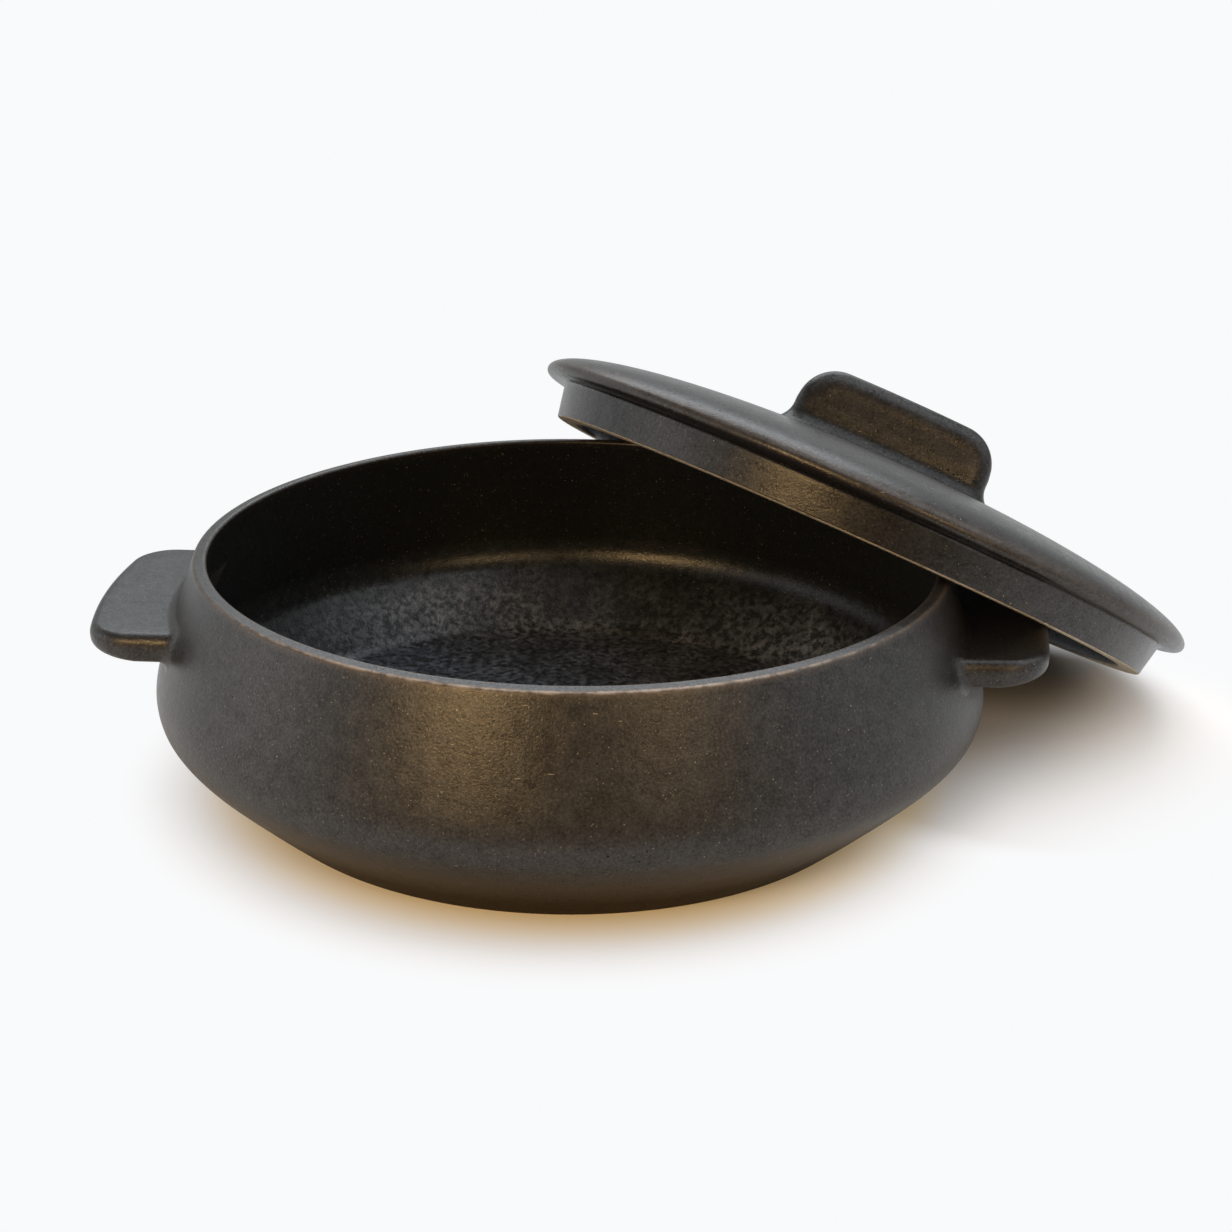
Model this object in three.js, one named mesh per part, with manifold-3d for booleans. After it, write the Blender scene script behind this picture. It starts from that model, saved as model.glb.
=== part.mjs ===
// Covered stoneware casserole, its lid lifted off and leant against the rim.
// Millimetres, +Z up. The pot stands on its flat foot at the origin, with a lug at each end of X.
import * as THREE from 'three';
import { mergeVertices } from 'three/addons/utils/BufferGeometryUtils.js';
import Module from 'manifold-3d';

const wasm = await Module();
wasm.setup();

// Clearances
const lutingGap = 0.3; // seam of slip between two pieces stuck together
const floorGap = 0.3; // air under the low edge of the leaning lid
const leanGap = 0.65; // air between the leaning lid and the lip it touches
const lugClearance = 1.5; // from the flat of a lug to the flange that passes over its edge
const mouthClearance = 1.5; // between the lid's flange and the mouth of the pot

// Pot body
const footRadius = 90;
const potHeight = 70;
const bellyRadius = 118.7;
const bellyHeight = 32.5;
const bellyRound = 14;
const wallThickness = 6.5;
const floorThickness = 8;
const coveLength = 8;
const lipRadius = 104; // middle of the rounded lip
const lipRound = 2.5;

// Lug handles, flat tabs on the shoulder
const lugProjection = 16.5; // beyond the belly
const lugDrop = 17; // from the top of the lip down to the top of the lug
const lugWidth = 74;
const lugThickness = 8.6;
const lugSide = 2; // straight part of the lug's edge, between its roundings
const lugCorner = 13;
const lugBow = THREE.MathUtils.degToRad(9); // turn of the bowed tip at its corners

// Lid
const lidOverhang = 3.3; // beyond the middle of the lip
const lidCrown = 15.6; // rise of the dome above its edge
const lidEdgeDrop = 2.5; // from the edge down to the top of the flange
const lidThickness = 6.5;
const flangeHeight = 10.4;
const flangeTaper = 1.7;
const flangeThickness = 7.5;

// Fin handle, an upright plate across the middle of the lid
const finHeight = 21.2; // above the top of the dome
const finBaseHalf = 34.9;
const finTopHalf = 32.6;
const finCorner = 12.5;
const finThickness = 10;
const finSide = 1.2; // straight part of the fin's edge, between its roundings
const finTurn = THREE.MathUtils.degToRad(-41); // from the side of the lid that is down

const leanBearing = THREE.MathUtils.degToRad(39.4); // way down the slope of the lid, seen from above

const turns = 72; // facets round the pot and lid

// Point where a line from a point touches a circle, passing it on the given side
function tangentPoint(from, centre, radius, side) {
  const reach = centre.clone().sub(from);
  const angle = reach.angle() + side * Math.asin(radius / reach.length());
  const length = Math.sqrt(reach.lengthSq() - radius * radius);
  return new THREE.Vector2(Math.cos(angle), Math.sin(angle)).multiplyScalar(length).add(from);
}

function angleAt(point, centre) {
  return Math.atan2(point.y - centre.y, point.x - centre.x);
}

// Turned solid from a half outline of radius against height
function turned(path) {
  return new THREE.LatheGeometry(path.getPoints(4), turns).rotateX(Math.PI / 2);
}

// Plate of an outline with rounded edges, its middle at height zero
function roundedPlate(shape, thickness, round) {
  const depth = thickness - 2 * round;
  const edge = { bevelThickness: round, bevelSize: round, bevelOffset: -round, bevelSegments: 4 };
  const plate = new THREE.ExtrudeGeometry(shape, { depth, curveSegments: 6, ...edge });
  return plate.translate(0, 0, -depth / 2);
}

function toSolid(geometry) {
  const bare = new THREE.BufferGeometry();
  bare.setAttribute('position', geometry.getAttribute('position').clone());
  bare.setIndex(geometry.getIndex());
  const merged = mergeVertices(bare, 1e-4);
  const vertProperties = new Float32Array(merged.getAttribute('position').array);
  const triVerts = new Uint32Array(merged.getIndex().array);
  return new wasm.Manifold(new wasm.Mesh({ numProp: 3, vertProperties, triVerts }));
}

function toGeometry(solid) {
  const mesh = solid.getMesh();
  const geometry = new THREE.BufferGeometry();
  geometry.setAttribute('position', new THREE.BufferAttribute(mesh.vertProperties, 3));
  geometry.setIndex(new THREE.BufferAttribute(mesh.triVerts, 1));
  geometry.computeVertexNormals();
  return geometry;
}

function piece(name, geometry, glaze) {
  const material = new THREE.MeshStandardMaterial(glaze);
  const mesh = new THREE.Mesh(geometry, material);
  mesh.name = name;
  return mesh;
}

const bronzeBlack = { color: 0x4b4139, roughness: 0.42, metalness: 0.35 };
const greyBlack = { color: 0x55524e, roughness: 0.45, metalness: 0.35 };

// Pot body: a flat foot, a flared lower wall, a tight round belly and a shoulder leaning in to the lip
const foot = new THREE.Vector2(footRadius, 0);
const bellyCentre = new THREE.Vector2(bellyRadius - bellyRound, bellyHeight);
const lipCentreHeight = potHeight - lipRound;
const lipOutside = new THREE.Vector2(lipRadius + lipRound, lipCentreHeight);
const lipInside = new THREE.Vector2(lipRadius - lipRound, lipCentreHeight);
const flareTop = tangentPoint(foot, bellyCentre, bellyRound, -1);
const flareAngle = angleAt(flareTop, bellyCentre);
const flareWay = flareTop.clone().sub(foot).normalize();
const shoulderFoot = tangentPoint(lipOutside, bellyCentre, bellyRound, 1);
const shoulderAngle = angleAt(shoulderFoot, bellyCentre);
const shoulderWay = lipOutside.clone().sub(shoulderFoot).normalize();

// Outside of the pot from foot to lip, moved out by a gap
function drawOutside(path, gap) {
  path.moveTo(0, foot.y);
  path.lineTo(foot.x + gap / flareWay.y, foot.y);
  path.absarc(bellyCentre.x, bellyCentre.y, bellyRound + gap, flareAngle, shoulderAngle, false);
  path.lineTo(lipOutside.x + gap / shoulderWay.y, lipOutside.y);
}

const innerRound = bellyRound - wallThickness;
const innerShoulder = tangentPoint(lipInside, bellyCentre, innerRound, 1);
const innerFlareTop = bellyCentre.clone();
innerFlareTop.x += innerRound * Math.cos(flareAngle);
innerFlareTop.y += innerRound * Math.sin(flareAngle);
const innerFlareLength = (innerFlareTop.y - floorThickness) / flareWay.y;
const coveCorner = innerFlareTop.clone().addScaledVector(flareWay, -innerFlareLength);
const coveTop = coveCorner.clone().addScaledVector(flareWay, coveLength);

const potPath = new THREE.Path();
drawOutside(potPath, 0);
potPath.absarc(lipRadius, lipCentreHeight, lipRound, 0, Math.PI, false);
potPath.absarc(
  bellyCentre.x, bellyCentre.y, innerRound, angleAt(innerShoulder, bellyCentre), flareAngle, true,
);
potPath.lineTo(coveTop.x, coveTop.y);
potPath.quadraticCurveTo(coveCorner.x, coveCorner.y, coveCorner.x - coveLength, floorThickness);
potPath.lineTo(0, floorThickness);
const potBody = piece('pot_body', turned(potPath), bronzeBlack);

// Lug handle: a flat tab with a bowed tip and rounded edges, its root shaped to the shoulder
const lugTip = bellyRadius + lugProjection;
const lugTop = potHeight - lugDrop;
const lugEdgeRound = (lugThickness - lugSide) / 2;
const lugHalf = lugWidth / 2;
const lugRoot = lipInside.x;
const cornerY = lugHalf - lugCorner;
const bowEndY = cornerY + lugCorner * Math.sin(lugBow);
const bowEndX = lugTip - (bowEndY * Math.tan(lugBow)) / 2;
const cornerX = bowEndX - lugCorner * Math.cos(lugBow);

const lugShape = new THREE.Shape();
lugShape.moveTo(lugRoot, -lugHalf);
lugShape.lineTo(cornerX, -lugHalf);
lugShape.absarc(cornerX, -cornerY, lugCorner, -Math.PI / 2, -lugBow, false);
lugShape.quadraticCurveTo(2 * lugTip - bowEndX, 0, bowEndX, bowEndY);
lugShape.absarc(cornerX, cornerY, lugCorner, lugBow, Math.PI / 2, false);
lugShape.lineTo(lugRoot, lugHalf);
lugShape.closePath();

const seamPath = new THREE.Path();
drawOutside(seamPath, lutingGap);
seamPath.lineTo(0, lipOutside.y);
const shoulderSpace = toSolid(turned(seamPath));

function lug(name, turn) {
  const blank = roundedPlate(lugShape, lugThickness, lugEdgeRound);
  blank.translate(0, 0, lugTop - lugThickness / 2);
  blank.rotateZ(turn);
  return piece(name, toGeometry(toSolid(blank).subtract(shoulderSpace)), bronzeBlack);
}

const rightLug = lug('right_lug', 0);
const leftLug = lug('left_lug', Math.PI);

// Lid cover: a low dome with a blunt edge that overhangs the lip, its heights from the flange's foot
const lidRadius = lipRadius + lidOverhang;
const lidEdgeHeight = flangeHeight + lidEdgeDrop;
const domeTop = lidEdgeHeight + lidCrown;
const hollowTop = domeTop - lidThickness;
const flangeTopRadius = lipInside.x - mouthClearance;
const flangeFootRadius = flangeTopRadius - flangeTaper;
const flangeInside = flangeFootRadius - flangeThickness;
const edgeDepth = lidRadius - flangeTopRadius;

const coverPath = new THREE.Path();
coverPath.absellipse(0, flangeHeight, flangeInside, hollowTop - flangeHeight, Math.PI / 2, 0, true);
coverPath.absellipse(flangeTopRadius, lidEdgeHeight, edgeDepth, lidEdgeDrop, -Math.PI / 2, 0, false);
coverPath.absellipse(0, lidEdgeHeight, lidRadius, lidCrown, 0, Math.PI / 2, false);
const lidCover = piece('lid_cover', turned(coverPath), greyBlack);

// Lid flange: a ring luted under the cover that drops into the mouth, its foot left unglazed
const flangeSeat = flangeHeight - lutingGap;
const flangePath = new THREE.Path();
flangePath.moveTo(flangeInside, 0);
flangePath.lineTo(flangeFootRadius, 0);
flangePath.lineTo(flangeTopRadius, flangeSeat);
flangePath.lineTo(flangeInside, flangeSeat);
flangePath.lineTo(flangeInside, 0);
const lidFlange = piece('lid_flange', turned(flangePath), bronzeBlack);

// Fin handle: a plate with rounded corners and edges, its base shaped to the dome
const finTop = domeTop + finHeight;
const finCornerCentre = new THREE.Vector2(finTopHalf - finCorner, finTop - finCorner);
const finBase = new THREE.Vector2(finBaseHalf, hollowTop);
const finSideTop = tangentPoint(finBase, finCornerCentre, finCorner, -1);
const finSideAngle = angleAt(finSideTop, finCornerCentre);

const finShape = new THREE.Shape();
finShape.moveTo(-finBase.x, finBase.y);
finShape.lineTo(finBase.x, finBase.y);
finShape.absarc(finCornerCentre.x, finCornerCentre.y, finCorner, finSideAngle, Math.PI / 2, false);
finShape.absarc(
  -finCornerCentre.x, finCornerCentre.y, finCorner, Math.PI / 2, Math.PI - finSideAngle, false,
);
finShape.closePath();

const domePath = new THREE.Path();
domePath.moveTo(0, lidEdgeHeight);
domePath.lineTo(lidRadius, lidEdgeHeight);
domePath.absellipse(
  0, lidEdgeHeight, lidRadius + lutingGap, lidCrown + lutingGap, 0, Math.PI / 2, false,
);
const domeSpace = toSolid(turned(domePath));

const finBlank = roundedPlate(finShape, finThickness, (finThickness - finSide) / 2);
finBlank.rotateX(Math.PI / 2);
const lidFin = piece('lid_fin', toGeometry(toSolid(finBlank).subtract(domeSpace)), greyBlack);
lidFin.rotation.z = finTurn;

// The lid leans with its low edge on the floor and the inside of its flange on two points of the lip.
// Its middle lies straight down the slope from the middle of the pot.
// The touch angle is that of those two points, from the highest point of the flange.
function leanFor(touchAngle) {
  const across = flangeInside * Math.sin(touchAngle);
  const along = flangeInside * Math.cos(touchAngle);
  const slope = Math.asin((potHeight + leanGap - floorGap) / (flangeFootRadius + along));
  const height = flangeFootRadius * Math.sin(slope) + floorGap;
  const out = Math.sqrt(lipRadius ** 2 - across ** 2) + along * Math.cos(slope);
  return { slope, height, out };
}

// Distance from the middle of the pot where the leaning flange comes down to the top of a lug
function lugPass({ slope, height, out }) {
  const rise = lugTop - height;
  const across = Math.sqrt(flangeInside ** 2 - (rise / Math.sin(slope)) ** 2);
  return Math.hypot(out - rise / Math.tan(slope), across);
}

// The lid slides out until its flange just passes over the edge of the lug
const passNeeded = lugTip - lugEdgeRound + lugClearance;
let touchLow = 0;
let touchHigh = Math.PI / 2;
for (let halving = 0; halving < 40; halving += 1) {
  const touchAngle = (touchLow + touchHigh) / 2;
  if (lugPass(leanFor(touchAngle)) > passNeeded) {
    touchLow = touchAngle;
  } else {
    touchHigh = touchAngle;
  }
}
const lean = leanFor(touchLow);

const lid = new THREE.Group();
lid.name = 'lid';
lid.position.set(lean.out * Math.cos(leanBearing), lean.out * Math.sin(leanBearing), lean.height);
lid.rotation.set(0, lean.slope, leanBearing, 'ZYX');
lid.add(lidCover, lidFlange, lidFin);

const casserole = new THREE.Group();
casserole.name = 'casserole';
casserole.add(potBody, leftLug, rightLug, lid);

export default casserole;
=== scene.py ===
from math import atan2, asin, cos, degrees, hypot, pi, radians, sin, sqrt

import bmesh
import bpy
from mathutils import Matrix, Vector


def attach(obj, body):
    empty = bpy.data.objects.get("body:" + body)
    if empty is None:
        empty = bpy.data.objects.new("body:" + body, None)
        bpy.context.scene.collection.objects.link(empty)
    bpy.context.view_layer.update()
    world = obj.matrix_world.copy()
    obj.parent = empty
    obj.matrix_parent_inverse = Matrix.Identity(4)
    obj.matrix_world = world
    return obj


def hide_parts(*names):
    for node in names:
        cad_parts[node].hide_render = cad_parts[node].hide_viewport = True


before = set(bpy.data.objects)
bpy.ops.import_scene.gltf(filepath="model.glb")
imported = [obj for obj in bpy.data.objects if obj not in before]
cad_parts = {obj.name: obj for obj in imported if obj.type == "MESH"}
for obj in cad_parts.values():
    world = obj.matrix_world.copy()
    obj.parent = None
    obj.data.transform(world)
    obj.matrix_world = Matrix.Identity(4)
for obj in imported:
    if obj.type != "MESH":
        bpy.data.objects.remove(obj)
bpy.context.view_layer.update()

# Pot body
# A low round stoneware pot, turned on a wheel and fired with a bronze-black satin glaze.
# It flares from a flat bare foot to a tight round belly and leans in to a rounded lip.
FOOT_RADIUS = 0.0906
FOOT_EDGE = 0.0012
BELLY_RADIUS = 0.1186
BELLY_HEIGHT = 0.0314
BELLY_ROUND = 0.0128
LIP_RADIUS = 0.1045
LIP_HALF = 0.0021
LIP_SLOPE = 12.0
LIP_INNER_ROUND = 0.001
LIP_OUTER_ROUND = 0.0015
POT_HEIGHT = 0.0699
WALL = 0.0065
INNER_ROUND = 0.011
POT_FLOOR = 0.008
COVE = 0.004
SHOULDER_SWELL = 0.0004
FLARE_SWELL = 0.0003
OUT_OF_ROUND = 0.0004
RIM_SAG = 0.0008
FOOT_STRAY = 0.001
FOOT_STRAY_FADE = 2.2
BARE_FOOT_HEIGHT = 0.0002
# Dry glaze towards the foot, which also paints the shade the flare mirrors from the card.
WIPED_SHADE_HEIGHT = 0.0175
WIPED_SHADE_FADE = 0.01
INSIDE_DEPTH = 0.0042
FLOOR_SLACK = 0.0005
# Lines on the lip where the glaze wears pale, which also paint a highlight: the inner line wholly, the
# outer line in part, stronger towards the front.
WORN_AND_LIT_OUTER_TURN = 60.0
INNER_HIGHLIGHT_TURN = 110.0
WEAR_AND_HIGHLIGHT_BELOW = 0.0014
WEAR_AND_HIGHLIGHT_ABOVE = 0.0007
INNER_HIGHLIGHT_REACH = 0.0006
INNER_HIGHLIGHT_SHARE = 0.7
WEAR_AND_HIGHLIGHT_AT_BACK = 0.3
# Clouded glaze inside the pot, blue and in patches, which also paints the cool light falling there.
HAZE_TOP = 0.033
HAZE_TOP_FADE = 0.004
HAZE_RISE = 0.02
HAZE_FLOOR_EDGE = 0.2
HAZE_CREST = 0.45
HAZE_ON_FLOOR = 1.15
HAZE_ON_WALL = 0.1
HAZE_ALL_ROUND = 0.36
HAZE_AND_LIGHT_PATCHES = ((120.0, 27.0, 1.15), (44.0, 24.0, 0.9))


def arc(middle, radius, start, end, steps):
    """Points of an arc of a half outline, from one angle to another in degrees."""
    points = []
    for step in range(steps + 1):
        angle = radians(start + (end - start) * step / steps)
        points.append((middle[0] + radius * cos(angle), middle[1] + radius * sin(angle)))
    return points


def straight(start, end, steps):
    """Points between two points of a half outline, without the ends."""
    return [
        (start[0] + (end[0] - start[0]) * step / steps, start[1] + (end[1] - start[1]) * step / steps)
        for step in range(1, steps)
    ]


def touch(point, middle, radius, side):
    """Angle in degrees on a circle where a line from a point touches it."""
    across, up = middle[0] - point[0], middle[1] - point[1]
    reach = hypot(across, up)
    way = atan2(up, across) + side * asin(radius / reach)
    length = sqrt(reach ** 2 - radius ** 2)
    foot = (point[0] + length * cos(way), point[1] + length * sin(way))
    return degrees(atan2(foot[1] - middle[1], foot[0] - middle[0]))


def turn_on_wheel(name, outline, around=288):
    """Closed mesh turned about Z from a half outline that starts and ends on the axis."""
    shape = bmesh.new()
    rings = []
    for radius, height in outline[1:-1]:
        ring = []
        for step in range(around):
            angle = 2 * pi * step / around
            ring.append(shape.verts.new((radius * cos(angle), radius * sin(angle), height)))
        rings.append(ring)
    for inner, outer in zip(rings, rings[1:]):
        for step in range(around):
            after = (step + 1) % around
            shape.faces.new((inner[step], inner[after], outer[after], outer[step]))
    for ring, end, turned_over in ((rings[0], outline[0], True), (rings[-1], outline[-1], False)):
        centre = shape.verts.new((0.0, 0.0, end[1]))
        for step in range(around):
            here, after = ring[step], ring[(step + 1) % around]
            shape.faces.new((centre, after, here) if turned_over else (centre, here, after))
    return finish_shape(name, shape)


def finish_shape(name, shape):
    """Object from a closed bmesh, smooth all over, its faces pointing out."""
    bmesh.ops.remove_doubles(shape, verts=shape.verts, dist=1e-7)
    bmesh.ops.recalc_face_normals(shape, faces=shape.faces)
    mesh = bpy.data.meshes.new(name)
    shape.to_mesh(mesh)
    shape.free()
    mesh.shade_smooth()
    piece = bpy.data.objects.new(name, mesh)
    bpy.context.scene.collection.objects.link(piece)
    return piece


def mark(piece, name, value_at):
    """Float attribute of a mesh, worked out from each point's place."""
    values = piece.data.attributes.new(name, "FLOAT", "POINT")
    for point, value in zip(piece.data.vertices, values.data):
        value.value = value_at(point.co)


def swollen(start, end, swell, steps):
    """Points of a half outline that bows out a little between two points, without the ends."""
    way = Vector(end) - Vector(start)
    way.normalize()
    points = []
    for step, point in enumerate(straight(start, end, steps), 1):
        out = swell * sin(pi * step / steps)
        points.append((point[0] + out * way.y, point[1] - out * way.x))
    return points


def smoothed(points, reach):
    """Points of a half outline, each moved to the mean of those around it, with its ends kept."""
    even = []
    for place, point in enumerate(points):
        span = min(reach, place, len(points) - 1 - place)
        near = points[place - span:place + span + 1]
        even.append((sum(p[0] for p in near) / len(near), sum(p[1] for p in near) / len(near)))
    return even


belly_middle = (BELLY_RADIUS - BELLY_ROUND, BELLY_HEIGHT)
inner_middle = (BELLY_RADIUS - WALL - INNER_ROUND, BELLY_HEIGHT)
lip_inner = (LIP_RADIUS - LIP_HALF + LIP_INNER_ROUND, POT_HEIGHT - LIP_INNER_ROUND)
lip_across = LIP_RADIUS + LIP_HALF - LIP_OUTER_ROUND - lip_inner[0]
lip_drop = lip_across * sin(radians(LIP_SLOPE)) + LIP_OUTER_ROUND - LIP_INNER_ROUND
lip_outer = (lip_inner[0] + lip_across, lip_inner[1] - lip_drop / cos(radians(LIP_SLOPE)))
lip_outside = (lip_outer[0] + LIP_OUTER_ROUND, lip_outer[1])
lip_inside = (lip_inner[0] - LIP_INNER_ROUND, lip_inner[1])
foot_middle = (FOOT_RADIUS - FOOT_EDGE * 0.6, FOOT_EDGE)
flare_turn = touch((FOOT_RADIUS, 0.0), belly_middle, BELLY_ROUND, -1)
shoulder_turn = touch(lip_outside, belly_middle, BELLY_ROUND, 1)
inner_turn = touch(lip_inside, inner_middle, INNER_ROUND, 1)

foot_edge = arc(foot_middle, FOOT_EDGE, -90, flare_turn, 5)
belly = arc(belly_middle, BELLY_ROUND, flare_turn, shoulder_turn, 26)
lip_side = arc(lip_outer, LIP_OUTER_ROUND, shoulder_turn, 90 - LIP_SLOPE, 12)
lip_rim = arc(lip_inner, LIP_INNER_ROUND, 90 - LIP_SLOPE, 180 + inner_turn * 0.4, 12)
lip = lip_side + straight(lip_side[-1], lip_rim[0], 6) + lip_rim
inner_belly = arc(inner_middle, INNER_ROUND, inner_turn, flare_turn, 22)
flare_way = Vector(belly[0]) - Vector(foot_edge[-1])
flare_way.normalize()
cove_corner = Vector(inner_belly[-1]) - flare_way * (inner_belly[-1][1] - POT_FLOOR) / flare_way.y
cove_top = cove_corner + flare_way * COVE
cove = []
for step in range(15):
    share = step / 14
    high = cove_top.lerp(cove_corner, share)
    low = cove_corner.lerp(cove_corner - Vector((COVE, 0.0)), share)
    cove.append(tuple(high.lerp(low, share)))

flare = swollen(foot_edge[-1], belly[0], FLARE_SWELL, 22)
shoulder = swollen(belly[-1], lip[0], SHOULDER_SWELL, 30)
outside = foot_edge + smoothed(flare + belly + shoulder, 9)
inner_shoulder = straight(lip[-1], inner_belly[0], 16)
inner_flare = straight(inner_belly[-1], cove[0], 10)
inside = inner_shoulder + inner_belly + inner_flare + cove
bottom = straight((0.0, 0.0), foot_edge[0], 10)
floor = straight(cove[-1], (0.0, POT_FLOOR), 12)
pot_outline = [(0.0, 0.0)] + bottom + outside + lip + inside + floor + [(0.0, POT_FLOOR)]
pot = turn_on_wheel("pot", pot_outline)

outer_wear_and_highlight_line = arc(lip_outer, LIP_OUTER_ROUND, WORN_AND_LIT_OUTER_TURN, WORN_AND_LIT_OUTER_TURN, 1)[0]
inner_highlight_line = arc(lip_inner, LIP_INNER_ROUND, INNER_HIGHLIGHT_TURN, INNER_HIGHLIGHT_TURN, 1)[0]


def pot_edge_wear_and_highlight(place):
    """How worn the glaze is on the edges of the lip, with a painted highlight there, stronger towards
    the front: 1 on the sharpest line, 0 away from it.
    """
    out = hypot(place.x, place.y)
    reach = WEAR_AND_HIGHLIGHT_BELOW if place.z < outer_wear_and_highlight_line[1] else WEAR_AND_HIGHLIGHT_ABOVE
    outer_wear_and_highlight = max(0.0, 1 - hypot(out - outer_wear_and_highlight_line[0], place.z - outer_wear_and_highlight_line[1]) / reach)
    inner_highlight = max(0.0, 1 - hypot(out - inner_highlight_line[0], place.z - inner_highlight_line[1]) / INNER_HIGHLIGHT_REACH)
    front = WEAR_AND_HIGHLIGHT_AT_BACK + (1 - WEAR_AND_HIGHLIGHT_AT_BACK) * max(0.0, -place.y / LIP_RADIUS) ** 2
    return front * max(outer_wear_and_highlight, INNER_HIGHLIGHT_SHARE * inner_highlight)


def pot_foot_dry_shade(place):
    """How dry the glaze is where it was wiped off towards the foot, also painting the shade the flare
    mirrors from the card: 1 at the foot, 0 further up.
    """
    if pot_inside(place) == 1.0:
        return 0.0
    return min(1.0, max(0.0, (WIPED_SHADE_HEIGHT - place.z) / WIPED_SHADE_FADE))


outside_wall = sorted((height, radius) for radius, height in outside + lip_side)


def outside_radius(height):
    """Radius of the outside of the pot at a height."""
    for (low, near), (high, far) in zip(outside_wall, outside_wall[1:]):
        if low <= height <= high and high > low:
            return near + (far - near) * (height - low) / (high - low)
    return outside_wall[-1][1]


def pot_inside(place):
    """1 on the inside of the pot, 0 outside."""
    within = outside_radius(place.z) - hypot(place.x, place.y)
    return 1.0 if place.z > POT_FLOOR - FLOOR_SLACK and within > INSIDE_DEPTH else 0.0


def pot_haze_and_light(place):
    """How clouded the glaze is, which also paints cool light falling inside: on the floor and the inner
    flare, most of all in a few patches.
    """
    if place.z > HAZE_TOP or pot_inside(place) == 0.0:
        return 0.0
    rise = (place.z - POT_FLOOR) / HAZE_RISE
    if rise < HAZE_CREST:
        flank = min(1.0, max(0.0, rise / HAZE_FLOOR_EDGE))
    else:
        flank = max(0.0, (2 * HAZE_CREST - rise) / HAZE_CREST)
    turn = degrees(atan2(place.y, place.x))
    patches = HAZE_ALL_ROUND
    for middle, breadth, depth in HAZE_AND_LIGHT_PATCHES:
        patches += depth * max(0.0, 1 - abs(turn - middle) / breadth)
    plain = HAZE_ON_FLOOR if rise < HAZE_FLOOR_EDGE else HAZE_ON_WALL
    return (plain + (patches - plain) * flank) * min(1.0, (HAZE_TOP - place.z) / HAZE_TOP_FADE)


# Worn edges, which on the lip also carry a painted highlight.
mark(pot, "thin_glaze_and_highlight", pot_edge_wear_and_highlight)
mark(pot, "inside", pot_inside)
# Haze, also painted cool light.
mark(pot, "haze", pot_haze_and_light)
# Dry towards the foot, also painted shade.
mark(pot, "dry", pot_foot_dry_shade)

# The pot came out of the kiln a little out of true.
# Its rim sags at the sides and its foot lies off centre.
for point in pot.data.vertices:
    place = point.co
    bearing = atan2(place.y, place.x)
    out = hypot(place.x, place.y)
    rise = place.z / POT_HEIGHT
    low = min(1.0, max(0.0, FOOT_STRAY_FADE * (1 - place.z / BELLY_HEIGHT)))
    if out > 0.0:
        wander = 1 + OUT_OF_ROUND * cos(4 * bearing) * rise ** 2 / out
        place.x *= wander
        place.y *= wander
    place.x -= FOOT_STRAY * low ** 2 * (3 - 2 * low)
    place.z -= RIM_SAG * cos(bearing) ** 2 * rise ** 3


# Dry brown, also painted shade towards the foot and on the fin's faces.
DRY_SHADE_BROWN = (0.009, 0.0048, 0.002)
INSIDE_BLACK = (0.008, 0.0093, 0.0093)
HAZE_AND_LIGHT_BLUE = (0.14, 0.157, 0.195)
# Tan and pale tints of worn glaze, which also paint highlights on the lip and a reflection on the lid's
# nose.
WORN_AND_LIT_TAN = (0.1, 0.075, 0.056)
WORN_AND_LIT_PALE = (0.33, 0.29, 0.26)
SPECK_BUFF = (0.3, 0.25, 0.18)
PIT_BLACK = (0.004, 0.0035, 0.003)
STREAK_TURNS = ((0.4, 0.9, 0.2), (1.3, -0.5, 2.1))
STREAK_STRETCH = (120.0, 1000.0, 1000.0)
STREAK_SHARE = 0.03


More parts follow.
